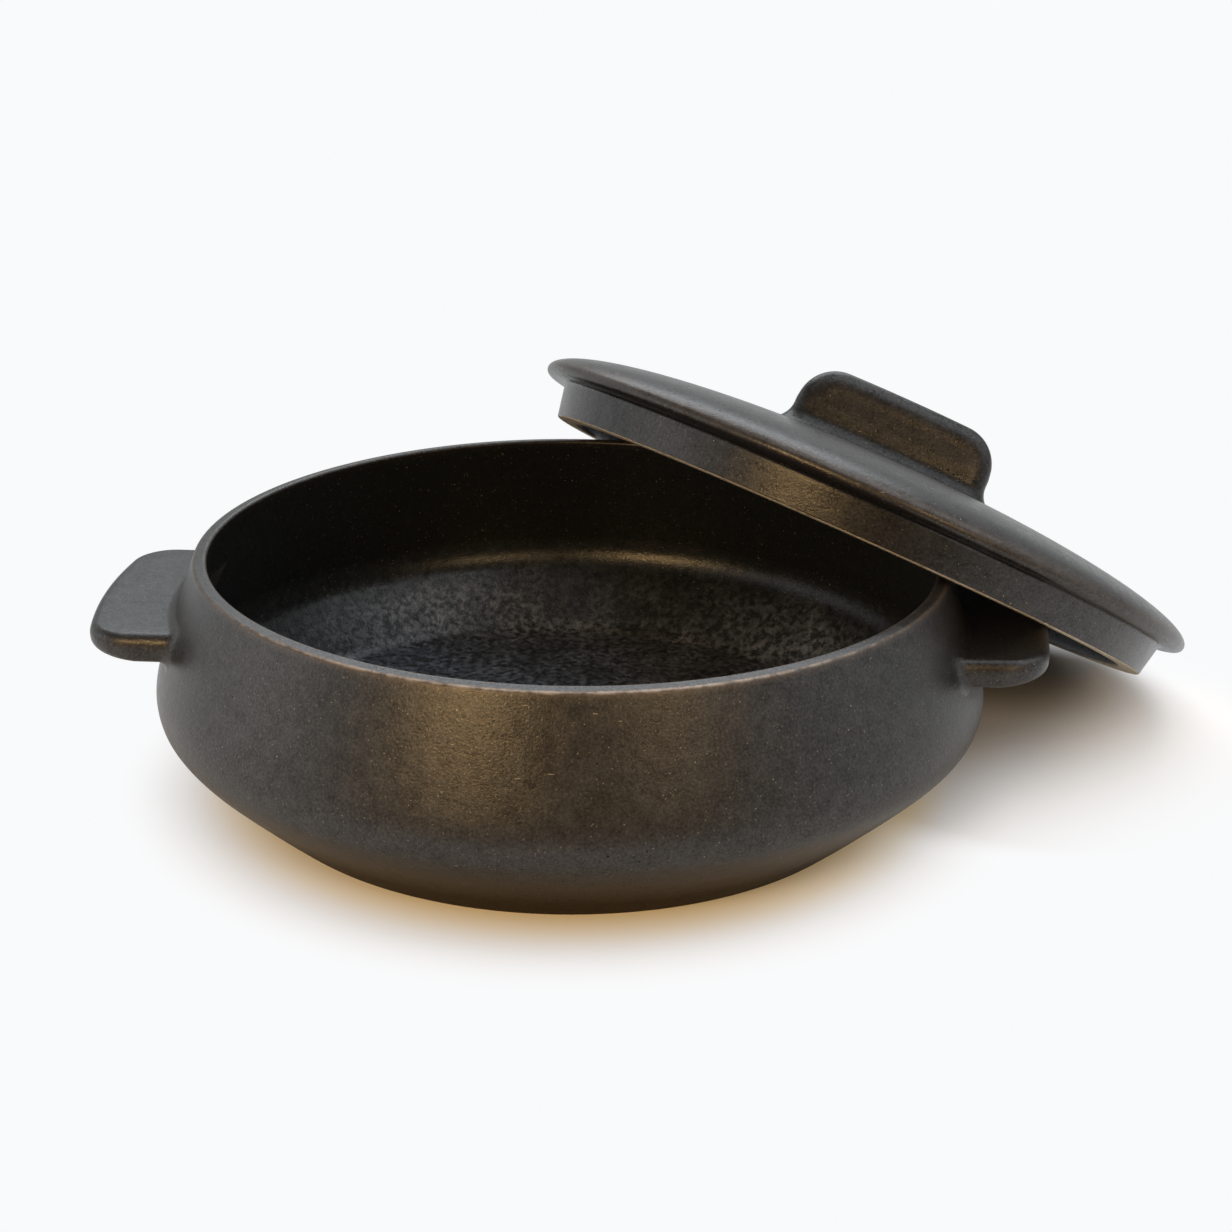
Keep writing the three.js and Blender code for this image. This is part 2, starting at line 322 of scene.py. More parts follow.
def satin_glaze(name, dark, pale, shine, gloss):
    """Satin bronze-black glaze: clouded tone, fine pale specks, dark pits, brown where it runs thin,
    and painted light and shade where the mesh is marked dry, hazed or worn.
    """
    glaze = bpy.data.materials.new(name)
    glaze.use_nodes = True
    nodes, links = glaze.node_tree.nodes, glaze.node_tree.links
    shader = nodes["Principled BSDF"]
    shader.inputs["Metallic"].default_value = 0.0
    shader.inputs["IOR"].default_value = 1.5

    def node(kind, **settings):
        made = nodes.new(kind)
        for setting, value in settings.items():
            setattr(made, setting, value)
        return made

    def noise(scale, detail=3.0, rough=0.55):
        made = node("ShaderNodeTexNoise")
        made.inputs["Scale"].default_value = scale
        made.inputs["Detail"].default_value = detail
        made.inputs["Roughness"].default_value = rough
        links.new(place.outputs["Object"], made.inputs["Vector"])
        return made.outputs["Fac"]

    def spread(value, low, high, to_low=0.0, to_high=1.0):
        made = node("ShaderNodeMapRange", clamp=True)
        made.inputs["From Min"].default_value = low
        made.inputs["From Max"].default_value = high
        made.inputs["To Min"].default_value = to_low
        made.inputs["To Max"].default_value = to_high
        links.new(value, made.inputs["Value"])
        return made.outputs["Result"]

    def work(kind, first, second):
        made = node("ShaderNodeMath", operation=kind)
        for socket, value in zip(made.inputs, (first, second)):
            if isinstance(value, float):
                socket.default_value = value
            else:
                links.new(value, socket)
        return made.outputs["Value"]

    def tint(share, under, over):
        made = node("ShaderNodeMix", data_type="RGBA")
        links.new(share, made.inputs["Factor"])
        for socket, value in zip([s for s in made.inputs if s.type == "RGBA"], (under, over)):
            if isinstance(value, tuple):
                socket.default_value = (*value, 1.0)
            else:
                links.new(value, socket)
        return next(s for s in made.outputs if s.type == "RGBA")

    def dots(scale, size, share):
        cells = node("ShaderNodeTexVoronoi")
        cells.inputs["Scale"].default_value = scale
        links.new(place.outputs["Object"], cells.inputs["Vector"])
        split = node("ShaderNodeSeparateColor")
        links.new(cells.outputs["Color"], split.inputs["Color"])
        near = spread(cells.outputs["Distance"], size * 0.45, size, 1.0, 0.0)
        near = work("MULTIPLY", near, spread(split.outputs["Green"], 0.0, 1.0, 0.2, 1.0))
        return work("MULTIPLY", near, work("LESS_THAN", split.outputs["Red"], share))

    def streaks(turn):
        laid = node("ShaderNodeMapping")
        laid.inputs["Rotation"].default_value = turn
        laid.inputs["Scale"].default_value = STREAK_STRETCH
        links.new(place.outputs["Object"], laid.inputs["Vector"])
        cells = node("ShaderNodeTexVoronoi")
        cells.inputs["Scale"].default_value = 1.0
        links.new(laid.outputs["Vector"], cells.inputs["Vector"])
        split = node("ShaderNodeSeparateColor")
        links.new(cells.outputs["Color"], split.inputs["Color"])
        near = spread(cells.outputs["Distance"], 0.07, 0.14, 1.0, 0.0)
        return work("MULTIPLY", near, work("LESS_THAN", split.outputs["Red"], STREAK_SHARE))

    place = node("ShaderNodeTexCoord")
    thin = node("ShaderNodeAttribute", attribute_name="thin_glaze_and_highlight").outputs["Fac"]
    haze = node("ShaderNodeAttribute", attribute_name="haze").outputs["Fac"]
    inside = node("ShaderNodeAttribute", attribute_name="inside").outputs["Fac"]
    dry = node("ShaderNodeAttribute", attribute_name="dry").outputs["Fac"]

    # Colour, from the broad clouds down to the worn edges, specks and pits; the dry, haze and worn
    # tints also paint shade and light
    cloud = spread(noise(26.0, 5.0, 0.6), 0.32, 0.68)
    fleck = noise(230.0, 5.0, 0.65)
    grain = noise(1300.0, 3.0, 0.7)
    tone = tint(cloud, dark, pale)
    tone = tint(spread(grain, 0.5, 0.8, 0.0, 0.4), tone, tuple(1.8 * c for c in pale))
    # Dry glaze turns brown and dull, which also paints shade.
    tone = tint(work("MULTIPLY", dry, 0.8), tone, DRY_SHADE_BROWN)
    tone = tint(inside, tone, INSIDE_BLACK)
    blotch = spread(noise(480.0, 4.0, 0.65), 0.42, 0.66, 0.08, 1.0)
    smear = spread(noise(70.0, 4.0), 0.25, 0.65, 0.25, 1.0)
    clouded = work("MULTIPLY", haze, work("MULTIPLY", blotch, smear))
    # Haze, blue and patched, which also paints cool light inside the pot.
    tone = tint(clouded, tone, HAZE_AND_LIGHT_BLUE)
    # Worn edges, also painted highlights on the lip and a painted reflection on the lid's nose.
    worn = work("MULTIPLY", thin, spread(noise(260.0, 5.0, 0.6), 0.3, 0.6, 0.45, 1.0))
    tone = tint(spread(worn, 0.0, 0.6), tone, WORN_AND_LIT_TAN)
    tone = tint(spread(worn, 0.4, 0.85), tone, WORN_AND_LIT_PALE)
    specks = work("ADD", dots(800.0, 0.16, 0.6), work("MULTIPLY", dots(360.0, 0.085, 0.25), 1.6))
    for turn in STREAK_TURNS:
        specks = work("ADD", specks, streaks(turn))
    pits = work("MULTIPLY", dots(520.0, 0.19, 0.6), spread(noise(30.0, 3.0), 0.5, 0.6))
    tone = tint(work("MINIMUM", work("MULTIPLY", specks, 0.7), 1.0), tone, SPECK_BUFF)
    tone = tint(work("MULTIPLY", pits, 0.9), tone, PIT_BLACK)
    links.new(tone, shader.inputs["Base Color"])

    # Sheen and roughness, dull where the glaze is dry or pitted, which also paints shade towards the
    # foot and on the fin, and raised by the haze as painted light
    grain_sheen = spread(grain, 0.25, 0.75, 0.0, 0.68 * shine)
    fleck_sheen = spread(fleck, 0.3, 0.7, 0.16 * shine, 0.48 * shine)
    sheen = work("ADD", grain_sheen, fleck_sheen)
    sheen = work("SUBTRACT", sheen, work("MULTIPLY", pits, 0.5 * shine))
    sheen = work("MULTIPLY", sheen, spread(dry, 0.0, 1.0, 1.0, 0.2))
    sheen = work("MULTIPLY", sheen, spread(inside, 0.0, 1.0, 1.0, 0.72))
    sheen = work("ADD", sheen, work("MULTIPLY", clouded, 0.3))
    links.new(sheen, shader.inputs["Specular IOR Level"])
    shader.inputs["Specular IOR Level"].default_value = 0.66 * shine
    fleck_rough = spread(fleck, 0.3, 0.7, gloss - 0.06, gloss + 0.04)
    rough = work("ADD", fleck_rough, work("MULTIPLY", grain, 0.06))
    rough = work("SUBTRACT", rough, work("MULTIPLY", inside, 0.06))
    links.new(work("ADD", rough, work("MULTIPLY", pits, 0.2)), shader.inputs["Roughness"])

    # Skin of the glaze, its heights in metres
    skin = work("ADD", work("MULTIPLY", grain, 0.00005), work("MULTIPLY", fleck, 0.00012))
    skin = work("ADD", skin, work("MULTIPLY", noise(34.0, 2.0), 0.00015))
    skin = work("ADD", skin, work("MULTIPLY", noise(1700.0, 2.0, 0.6), 0.00008))
    skin = work("ADD", skin, work("MULTIPLY", clouded, 0.00006))
    skin = work("SUBTRACT", skin, work("MULTIPLY", pits, 0.00015))
    bump = node("ShaderNodeBump")
    bump.inputs["Distance"].default_value = 1.0
    bump.inputs["Strength"].default_value = 0.8
    links.new(skin, bump.inputs["Height"])
    links.new(bump.outputs["Normal"], shader.inputs["Normal"])
    return glaze


CLAY_DARK = (0.3, 0.25, 0.18)
CLAY_PALE = (0.5, 0.44, 0.34)
SAND_GRAIN = 900.0


def bare_clay(name):
    """Unglazed fired stoneware: buff and dry, with a fine sandy grain."""
    clay = bpy.data.materials.new(name)
    clay.use_nodes = True
    nodes, links = clay.node_tree.nodes, clay.node_tree.links
    shader = nodes["Principled BSDF"]
    shader.inputs["Specular IOR Level"].default_value = 0.25
    place = nodes.new("ShaderNodeTexCoord")
    sand = nodes.new("ShaderNodeTexNoise")
    sand.inputs["Scale"].default_value = SAND_GRAIN
    sand.inputs["Detail"].default_value = 5.0
    links.new(place.outputs["Object"], sand.inputs["Vector"])
    tones = nodes.new("ShaderNodeValToRGB")
    tones.color_ramp.elements[0].position = 0.3
    tones.color_ramp.elements[0].color = (*CLAY_DARK, 1.0)
    tones.color_ramp.elements[1].position = 0.6
    tones.color_ramp.elements[1].color = (*CLAY_PALE, 1.0)
    links.new(sand.outputs["Fac"], tones.inputs["Fac"])
    links.new(tones.outputs["Color"], shader.inputs["Base Color"])
    dry = nodes.new("ShaderNodeMapRange")
    dry.inputs["To Min"].default_value = 0.75
    dry.inputs["To Max"].default_value = 0.95
    links.new(sand.outputs["Fac"], dry.inputs["Value"])
    links.new(dry.outputs["Result"], shader.inputs["Roughness"])
    bump = nodes.new("ShaderNodeBump")
    bump.inputs["Distance"].default_value = 0.0002
    bump.inputs["Strength"].default_value = 0.6
    links.new(sand.outputs["Fac"], bump.inputs["Height"])
    links.new(bump.outputs["Normal"], shader.inputs["Normal"])
    return clay


POT_DARK = (0.007, 0.006, 0.0053)
POT_PALE = (0.0125, 0.0108, 0.0096)
POT_SHINE = 0.76
POT_GLOSS = 0.34

pot_glaze = satin_glaze("pot_glaze", POT_DARK, POT_PALE, POT_SHINE, POT_GLOSS)
foot_clay = bare_clay("foot_clay")
pot.data.materials.append(pot_glaze)
pot.data.materials.append(foot_clay)
for face in pot.data.polygons:
    if face.center.z < BARE_FOOT_HEIGHT:
        face.material_index = 1
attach(pot, "pot")
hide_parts("pot_body")

# Lug handles
# Two flat tabs of the same clay, pressed by themselves and luted to the shoulder with slip.
# Their tips bow and thin a little, every edge is rounded, and the slip leaves a fillet at the root.
LUG_TIP = 0.1351
LUG_TOP = 0.0529
LUG_THICK = 0.0085
LUG_EDGE = 0.0034
LUG_EDGE_FULLNESS = 2.5
LUG_HALF = 0.0369
LUG_CORNER = 0.013
LUG_BOW = 9.0
LUG_FACE_FILLET = 0.0024
LUG_END_FILLET = 0.0034
LUG_THINNING = (0.0, 0.002)
LUG_ROOT = 0.1188
SLIP_DEEP = 0.0015
SLIP_SHALLOW = 0.0002
SLIP_BEYOND = 0.0012
SLIP_EDGE = 0.00002


def half_tab(reach, half, corner, bow, lean, start):
    """Half outline of a tab: rows of its place along and across, and its way out, along and across."""
    corner_across = half - corner
    bow_across = corner_across + corner * sin(radians(bow))
    bow_along = reach - bow_across * sin(radians(bow)) / cos(radians(bow)) / 2
    corner_along = bow_along - corner * cos(radians(bow))
    side_along = corner_along + corner * sin(radians(lean))
    side_across = corner_across + corner * cos(radians(lean))
    rows = []
    for step in range(8):
        left = (side_along - start) * (1 - step / 8)
        splay = left * sin(radians(lean)) / cos(radians(lean))
        rows.append((side_along - left, side_across + splay, lean))
    for step in range(19):
        way = lean + (90 - bow - lean) * step / 18
        along = corner_along + corner * sin(radians(way))
        rows.append((along, corner_across + corner * cos(radians(way)), way))
    for step in range(1, 17):
        share = step / 16
        along = bow_along + (reach - bow_along) * (2 * share - share ** 2)
        rows.append((along, bow_across * (1 - share), 90 - bow * (1 - share)))
    return [(along, across, sin(radians(way)), cos(radians(way))) for along, across, way in rows]


def rounded_edge(depth, thick, fullness, steps=18):
    """Rounded edge of a plate, top to bottom: how far out and through, and its way, out and through."""
    points = []
    for step in range(steps + 1):
        turn = pi / 2 - pi * step / steps
        side = 1 if turn > 0 else -1
        flat, steep = abs(cos(turn)), abs(sin(turn))
        way_out = flat ** (2 - 2 / fullness) / depth
        way_through = side * steep ** (2 - 2 / fullness) / (thick / 2)
        size = hypot(way_out, way_through)
        points.append((
            depth * flat ** (2 / fullness), side * thick / 2 * steep ** (2 / fullness),
            way_out / size, way_through / size,
        ))
    return points


def luted_tab(name, rows, edge, fillets, thinning, seat, to_place):
    """Closed tab with rounded edges whose root spreads in a fillet onto the surface it is luted to."""
    depth = max(out for out, through, way_out, way_through in edge)
    thick = 2 * max(through for out, through, way_out, way_through in edge)
    root, tip = rows[0][0], rows[-1][0]
    face_steps = 12

    def section(along, across, out_along, out_across):
        inset_along, inset = along - out_along * depth, across - out_across * depth
        over, under = (thin * (along - root) / (tip - root) for thin in thinning)
        loop = []
        for step in range(1, face_steps):
            loop.append((inset_along, inset * (1 - 2 * step / face_steps), thick / 2, 0.0, 1.0))
        for out, through, way_out, way_through in edge:
            further = inset_along + out_along * out
            loop.append((further, -inset - out_across * out, through, -way_out, way_through))
        for step in range(1, face_steps):
            loop.append((inset_along, inset * (2 * step / face_steps - 1), -thick / 2, 0.0, -1.0))
        for out, through, way_out, way_through in reversed(edge):
            further = inset_along + out_along * out
            loop.append((further, inset + out_across * out, through, way_out, way_through))
        return [
            (a, b, c + under * (0.5 - c / thick) - over * (0.5 + c / thick), way_b, way_c)
            for a, b, c, way_b, way_c in loop
        ]

    base = section(*rows[0])
    face_fillet, end_fillet = fillets
    rings = []
    # The slip runs on under the surface: how far sunk, how far beyond the fillet, and its turn
    skirt = [(SLIP_DEEP, SLIP_BEYOND, 90), (SLIP_SHALLOW, SLIP_BEYOND, 90), (SLIP_EDGE, 0.0, 90)]
    sweep = [(0.0, 0.0, 90 - 9 * step) for step in range(1, 11)]
    for sunk, beyond, turn in skirt + sweep:
        ring = []
        for _, across, through, way_across, way_through in base:
            fillet = face_fillet + (end_fillet - face_fillet) * way_across ** 2
            out = fillet * (1 - cos(radians(turn))) + beyond
            spot = (across + way_across * out, through + way_through * out)
            ring.append((seat(*spot) + fillet * (1 - sin(radians(turn))) - sunk, *spot))
        rings.append(ring)
    for row in rows:
        rings.append([point[:3] for point in section(*row)])

    shape = bmesh.new()
    loops = [[shape.verts.new(to_place(*point)) for point in ring] for ring in rings]
    for ring, further in zip(loops, loops[1:]):
        for step in range(len(ring)):
            after = (step + 1) % len(ring)
            shape.faces.new((ring[step], ring[after], further[after], further[step]))
    shape.faces.new(loops[0])
    bmesh.ops.remove_doubles(shape, verts=shape.verts, dist=1e-6)
    bmesh.ops.dissolve_degenerate(shape, edges=shape.edges, dist=1e-7)
    return finish_shape(name, shape)


lug_middle = LUG_TOP - LUG_THICK / 2
lug_rows = half_tab(LUG_TIP, LUG_HALF, LUG_CORNER, LUG_BOW, 0.0, LUG_ROOT)
lug_edge = rounded_edge(LUG_EDGE, LUG_THICK, LUG_EDGE_FULLNESS)
for name, node_name, way in (("lug_right", "right_lug", 1), ("lug_left", "left_lug", -1)):
    lug = luted_tab(
        name, lug_rows, lug_edge, (LUG_FACE_FILLET, LUG_END_FILLET), LUG_THINNING,
        lambda across, through: sqrt(outside_radius(lug_middle + through) ** 2 - across ** 2),
        lambda along, across, through, way=way: (way * along, way * across, lug_middle + through),
    )
    lug.data.materials.append(pot_glaze)
    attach(lug, "pot")
    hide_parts(node_name)

# Lid
# A low domed cover with a blunt edge that overhangs the lip, and a ring below that fits in the mouth.
# It is glazed like the pot, but for the foot of the ring, which stood on the kiln shelf and is bare.
LID_RADIUS = 0.107
LID_EDGE_HEIGHT = 0.0129
LID_CROWN = 0.0155
LID_FULLNESS = 0.51
LID_THICK = 0.0065
RING_HEIGHT = 0.0104
RING_TOP_RADIUS = 0.0999
RING_FOOT_RADIUS = 0.0982
RING_INSIDE = 0.0909
RING_EDGE = 0.0007
GROOVE_ROUND = 0.0012
UNDER_EDGE_OUT = 0.55
UNDER_EDGE_UP = 0.9
RING_BARE_SHARE = 0.45
RING_WEAR_HEIGHT = 0.0005
# Wear along the lid's blunt edge, which also paints a reflection on its nose.
EDGE_WEAR_IN = 0.0006
EDGE_WEAR_UP = 0.0016
EDGE_WEAR_REACH = 0.0034
EDGE_WEAR_AND_REFLECTION = 0.25
LID_DARK = (0.007, 0.0062, 0.0057)
LID_PALE = (0.0125, 0.0111, 0.0102)
LID_SHINE = 0.67
LID_GLOSS = 0.28
LEAN_SLOPE = radians(29.652)
LEAN_BEARING = radians(39.4)
LID_MIDDLE = (0.081307, 0.066786, 0.048932)


def dome_height(out):
    """Height of the top of the lid at a distance from its middle."""
    return LID_EDGE_HEIGHT + LID_CROWN * max(0.0, 1 - (out / LID_RADIUS) ** 2) ** LID_FULLNESS


hollow_rise = LID_EDGE_HEIGHT + LID_CROWN - LID_THICK - RING_HEIGHT
hollow = []
for step in range(33):
    turn = radians(90 - 90 * step / 32)
    hollow.append((RING_INSIDE * cos(turn), RING_HEIGHT + hollow_rise * sin(turn)))
ring_foot = arc((RING_INSIDE + RING_EDGE, RING_EDGE), RING_EDGE, 180, 270, 5)
ring_foot += straight(ring_foot[-1], (RING_FOOT_RADIUS - RING_EDGE, 0.0), 5)
ring_foot += arc((RING_FOOT_RADIUS - RING_EDGE, RING_EDGE), RING_EDGE, -90, 0, 5)
ring_side = straight(ring_foot[-1], (RING_TOP_RADIUS, RING_HEIGHT - GROOVE_ROUND), 8)
edge_start = RING_TOP_RADIUS + GROOVE_ROUND
edge_reach = LID_RADIUS - RING_TOP_RADIUS - GROOVE_ROUND
groove = []
for step in range(7):
    turn = radians(180 - 90 * step / 6)
    groove.append((
        edge_start + GROOVE_ROUND * cos(turn),
        RING_HEIGHT - GROOVE_ROUND + GROOVE_ROUND * sin(turn),
    ))
under_edge = []
for step in range(1, 25):
    turn = radians(-90 + 90 * step / 24)
    under_edge.append((
        edge_start + edge_reach * cos(turn) ** UNDER_EDGE_OUT,
        LID_EDGE_HEIGHT - (LID_EDGE_HEIGHT - RING_HEIGHT) * sin(-turn) ** UNDER_EDGE_UP,
    ))
dome = []
for step in range(1, 61):
    out = LID_RADIUS * cos(radians(90 * step / 60))
    dome.append((out, dome_height(out)))
ring_inside = straight(hollow[-1], ring_foot[0], 6)
lid_outline = hollow + ring_inside + ring_foot + ring_side + groove + under_edge + dome
lid_outline[-1] = (0.0, lid_outline[-1][1])
lid = turn_on_wheel("lid", lid_outline)
lid_place = Matrix.Translation(LID_MIDDLE) @ Matrix.Rotation(LEAN_BEARING, 4, "Z")
lid_place = lid_place @ Matrix.Rotation(LEAN_SLOPE, 4, "Y")


def lid_wear_and_reflection(place):
    """How worn the lid's glaze is: along its blunt edge, where it also paints a reflection on the nose,
    and just above the bare foot of its ring.
    """
    out = hypot(place.x, place.y)
    edge_away = hypot(out - LID_RADIUS + EDGE_WEAR_IN, place.z - LID_EDGE_HEIGHT - EDGE_WEAR_UP)
    edge_near = max(0.0, 1 - edge_away / EDGE_WEAR_REACH)
    foot_near = max(0.0, 1 - place.z / RING_WEAR_HEIGHT)
    return max(EDGE_WEAR_AND_REFLECTION * edge_near, foot_near)


# Wear, which on the nose is also a painted reflection.
mark(lid, "thin_glaze_and_highlight", lid_wear_and_reflection)
lid_glaze = satin_glaze("lid_glaze", LID_DARK, LID_PALE, LID_SHINE, LID_GLOSS)
lid.data.materials.append(lid_glaze)
lid.data.materials.append(bare_clay("ring_clay"))
for face in lid.data.polygons:
    if face.center.z < RING_EDGE * RING_BARE_SHARE:
        face.material_index = 1
lid.data.transform(lid_place)
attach(lid, "lid")
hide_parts("lid_cover", "lid_flange")

# Fin handle
# An upright plate of clay luted across the middle of the dome to lift the lid by.
# Its corners are broad, its edges are rounded right over, and its ends sweep out onto the dome.
FIN_TOP = 0.0496
FIN_HALF = 0.0325
FIN_CORNER = 0.0125
FIN_BOW = 1.5
FIN_LEAN = 8.0
FIN_THICK = 0.0099
FIN_EDGE = 0.0072
FIN_EDGE_FULLNESS = 2.2
FIN_FACE_FILLET = 0.006
FIN_END_FILLET = 0.0068
FIN_THINNING = (0.0008, 0.0008)
FIN_ROOT = 0.0364
FIN_TURN = radians(-41.0)
# Dry glaze on the fin's flat faces, which also paints shade on them.
FIN_DRY_SHADE = 0.3
FIN_FACE_FROM = 0.0032
FIN_FACE_FADE = 0.001
FIN_FACE_TO = 0.0072
FIN_FOOT_FADE = 0.0015

fin_rows = half_tab(FIN_TOP, FIN_HALF, FIN_CORNER, FIN_BOW, FIN_LEAN, FIN_ROOT)
fin_edge = rounded_edge(FIN_EDGE, FIN_THICK, FIN_EDGE_FULLNESS)


def on_lid(along, across, through):
    """Place on the leaning lid of a point of the fin: up, along it and through it."""
    spot = Matrix.Rotation(FIN_TURN, 4, "Z") @ Vector((across, through, along))
    return lid_place @ spot


fin = luted_tab(
    "fin", fin_rows, fin_edge, (FIN_FACE_FILLET, FIN_END_FILLET), FIN_THINNING,
    lambda across, through: dome_height(hypot(across, through)), on_lid,
)
from_lid = Matrix.Rotation(-FIN_TURN, 4, "Z") @ lid_place.inverted()


def fin_face_dry_shade(place):
    """How dry the fin's glaze is, which also paints shade: a little on its flat faces, not round its
    edges or in its fillets.
    """
    through = abs((from_lid @ place).y)
    past_edge = (through - FIN_FACE_FROM) / FIN_FACE_FADE
    short_of_foot = (FIN_FACE_TO - through) / FIN_FOOT_FADE
    return FIN_DRY_SHADE * min(1.0, max(0.0, min(past_edge, short_of_foot)))


# Dry faces, also painted shade.
mark(fin, "dry", fin_face_dry_shade)
fin.data.materials.append(lid_glaze)
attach(fin, "lid")
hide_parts("lid_fin")

# Table
# The pot stands on a wide sheet of smooth white card.
# The card keeps the pot's soft shadow close by, adds painted shade and a painted glow there, and fades
# to plain white further off.
CARD_HALF = 6.0
CARD_FRONT = -0.28
CARD_WHITE = (0.93, 0.95, 0.985)
FAR_WHITE = (0.95, 0.955, 0.965)
MIRRORED_WHITE = (0.82, 0.83, 0.84)
SHADE_WHITE = (0.94, 0.93, 0.925)
# Painted golden shade on the card round the foot.
PAINTED_FOOT_SHADE = (0.96, 0.86, 0.53)
# Painted glow of warm light on the card round the foot.
PAINTED_FOOT_GLOW = (0.055, 0.022, 0.0)
# Painted golden shade on the card below the flare, as the glaze mirrors it.
PAINTED_FLARE_SHADE = (0.52, 0.43, 0.31)
PAINTED_FLARE_SHADE_MIDDLE = (0.0, -0.03, 0.0)
LID_SHADE = (0.125, 0.045, 0.0)
LID_SHADE_WAY = (0.62, -0.785, 0.0)
DEEP_SHADE = (0.135, 0.085, 0.0)
# Painted deep shade on the card under the lid.
PAINTED_DEEP_SHADE = (0.46, 0.42, 0.37)
PAINTED_FLARE_SHADE_REACH = (0.06, 0.105)
PAINTED_FOOT_SHADE_REACH = (0.098, 0.112)
PAINTED_FOOT_GLOW_REACH = (0.095, 0.115)
PAINTED_DEEP_SHADE_REACH = (0.014, 0.042)
POT_SHADE_REACH = (0.084, 0.132)
LID_SHADE_REACH = (0.062, 0.095)
LID_SHADE_LINE = (0.044, 0.139)
MIRRORED_REACH = (0.35, 0.6)

sheet = bmesh.new()
bmesh.ops.create_grid(sheet, x_segments=8, y_segments=8, size=CARD_HALF)
bmesh.ops.translate(sheet, verts=sheet.verts, vec=(0.0, CARD_HALF + CARD_FRONT, 0.0))
card_mesh = bpy.data.meshes.new("card")
sheet.to_mesh(card_mesh)
sheet.free()
card = bpy.data.objects.new("card", card_mesh)
bpy.context.scene.collection.objects.link(card)
card_finish = bpy.data.materials.new("white_card")
card_finish.use_nodes = True
nodes, links = card_finish.node_tree.nodes, card_finish.node_tree.links
nodes.remove(nodes["Principled BSDF"])
spot = nodes.new("ShaderNodeTexCoord")
seen = nodes.new("ShaderNodeLightPath")


def eased(value, low, high, start=0.0, end=1.0):
    """Share that runs smoothly from start to end as a value rises."""
    share = nodes.new("ShaderNodeMapRange")
    share.interpolation_type = "SMOOTHSTEP"
    share.inputs["From Min"].default_value = low
    share.inputs["From Max"].default_value = high
    share.inputs["To Min"].default_value = start
    share.inputs["To Max"].default_value = end
    links.new(value, share.inputs["Value"])
    return share.outputs["Result"]


def away_from(middle, near, far, start=0.0, end=1.0):
    """Share that runs from start to end as a place on the card lies further from a middle."""
    offset = nodes.new("ShaderNodeVectorMath")
    offset.operation = "DISTANCE"
    offset.inputs[1].default_value = middle
    links.new(spot.outputs["Object"], offset.inputs[0])
    return eased(offset.outputs["Value"], near, far, start, end)


def tone_between(share, under, over):
    """Colour that runs from one to another with a share."""
    blend = nodes.new("ShaderNodeMix")
    blend.data_type = "RGBA"
    links.new(share, blend.inputs["Factor"])
    for socket, colour in zip([s for s in blend.inputs if s.type == "RGBA"], (under, over)):
        if isinstance(colour, tuple):
            socket.default_value = (*colour, 1.0)
        else:
            links.new(colour, socket)
    return next(s for s in blend.outputs if s.type == "RGBA")


def card_share(kind, first, second):
    """Share worked out from two others."""
    both = nodes.new("ShaderNodeMath")
    both.operation = kind
    links.new(first, both.inputs[0])
    links.new(second, both.inputs[1])
    return both.outputs["Value"]


def card_mix(share, under, over):
    """Finish of the card that runs from one to another with a share."""
    blend = nodes.new("ShaderNodeMixShader")
    links.new(share, blend.inputs["Fac"])
    links.new(under, blend.inputs[1])
    links.new(over, blend.inputs[2])
    return blend.outputs["Shader"]


# The card as the pot sees it: a painted golden shade below the flare, white all round
pot_middle = (0.0, 0.0, 0.0)
plain_card = nodes.new("ShaderNodeBsdfDiffuse")
# Painted shade below the flare.
painted_flare_shade_tone = tone_between(away_from(PAINTED_FLARE_SHADE_MIDDLE, *PAINTED_FLARE_SHADE_REACH), PAINTED_FLARE_SHADE, CARD_WHITE)
links.new(painted_flare_shade_tone, plain_card.inputs["Color"])

# The card as the camera sees it: its shadow close by, with painted golden shade and a painted glow at
# the foot and painted deep shade under the lid, and plain white further off
# Painted golden shade round the foot.
shade_tone = tone_between(away_from(pot_middle, *PAINTED_FOOT_SHADE_REACH), PAINTED_FOOT_SHADE, SHADE_WHITE)
# Painted deep shade under the lid.
shade_tone = tone_between(away_from(DEEP_SHADE, *PAINTED_DEEP_SHADE_REACH), PAINTED_DEEP_SHADE, shade_tone)
shade_card = nodes.new("ShaderNodeBsdfDiffuse")
links.new(shade_tone, shade_card.inputs["Color"])
# Painted glow round the foot.
glow = nodes.new("ShaderNodeEmission")
glow.inputs["Color"].default_value = (*PAINTED_FOOT_GLOW, 1.0)
links.new(away_from(pot_middle, *PAINTED_FOOT_GLOW_REACH, 1.0, 0.0), glow.inputs["Strength"])
near_card = nodes.new("ShaderNodeAddShader")
links.new(shade_card.outputs["BSDF"], near_card.inputs[0])
links.new(glow.outputs["Emission"], near_card.inputs[1])
far_card = nodes.new("ShaderNodeEmission")
far_card.inputs["Color"].default_value = (*FAR_WHITE, 1.0)
# The card's real shadow is faded under plain emitted white, by reaches round the pot and a line beside
# the lid: painted light over the shadow.
out_from_lid = nodes.new("ShaderNodeVectorMath")
out_from_lid.operation = "DOT_PRODUCT"
out_from_lid.inputs[1].default_value = LID_SHADE_WAY
links.new(spot.outputs["Object"], out_from_lid.inputs[0])
lid_fade = eased(out_from_lid.outputs["Value"], *LID_SHADE_LINE)
lid_fade = card_share("MAXIMUM", lid_fade, away_from(LID_SHADE, *LID_SHADE_REACH))
fade = card_share("MULTIPLY", away_from(pot_middle, *POT_SHADE_REACH), lid_fade)
shown_card = card_mix(fade, near_card.outputs["Shader"], far_card.outputs["Emission"])

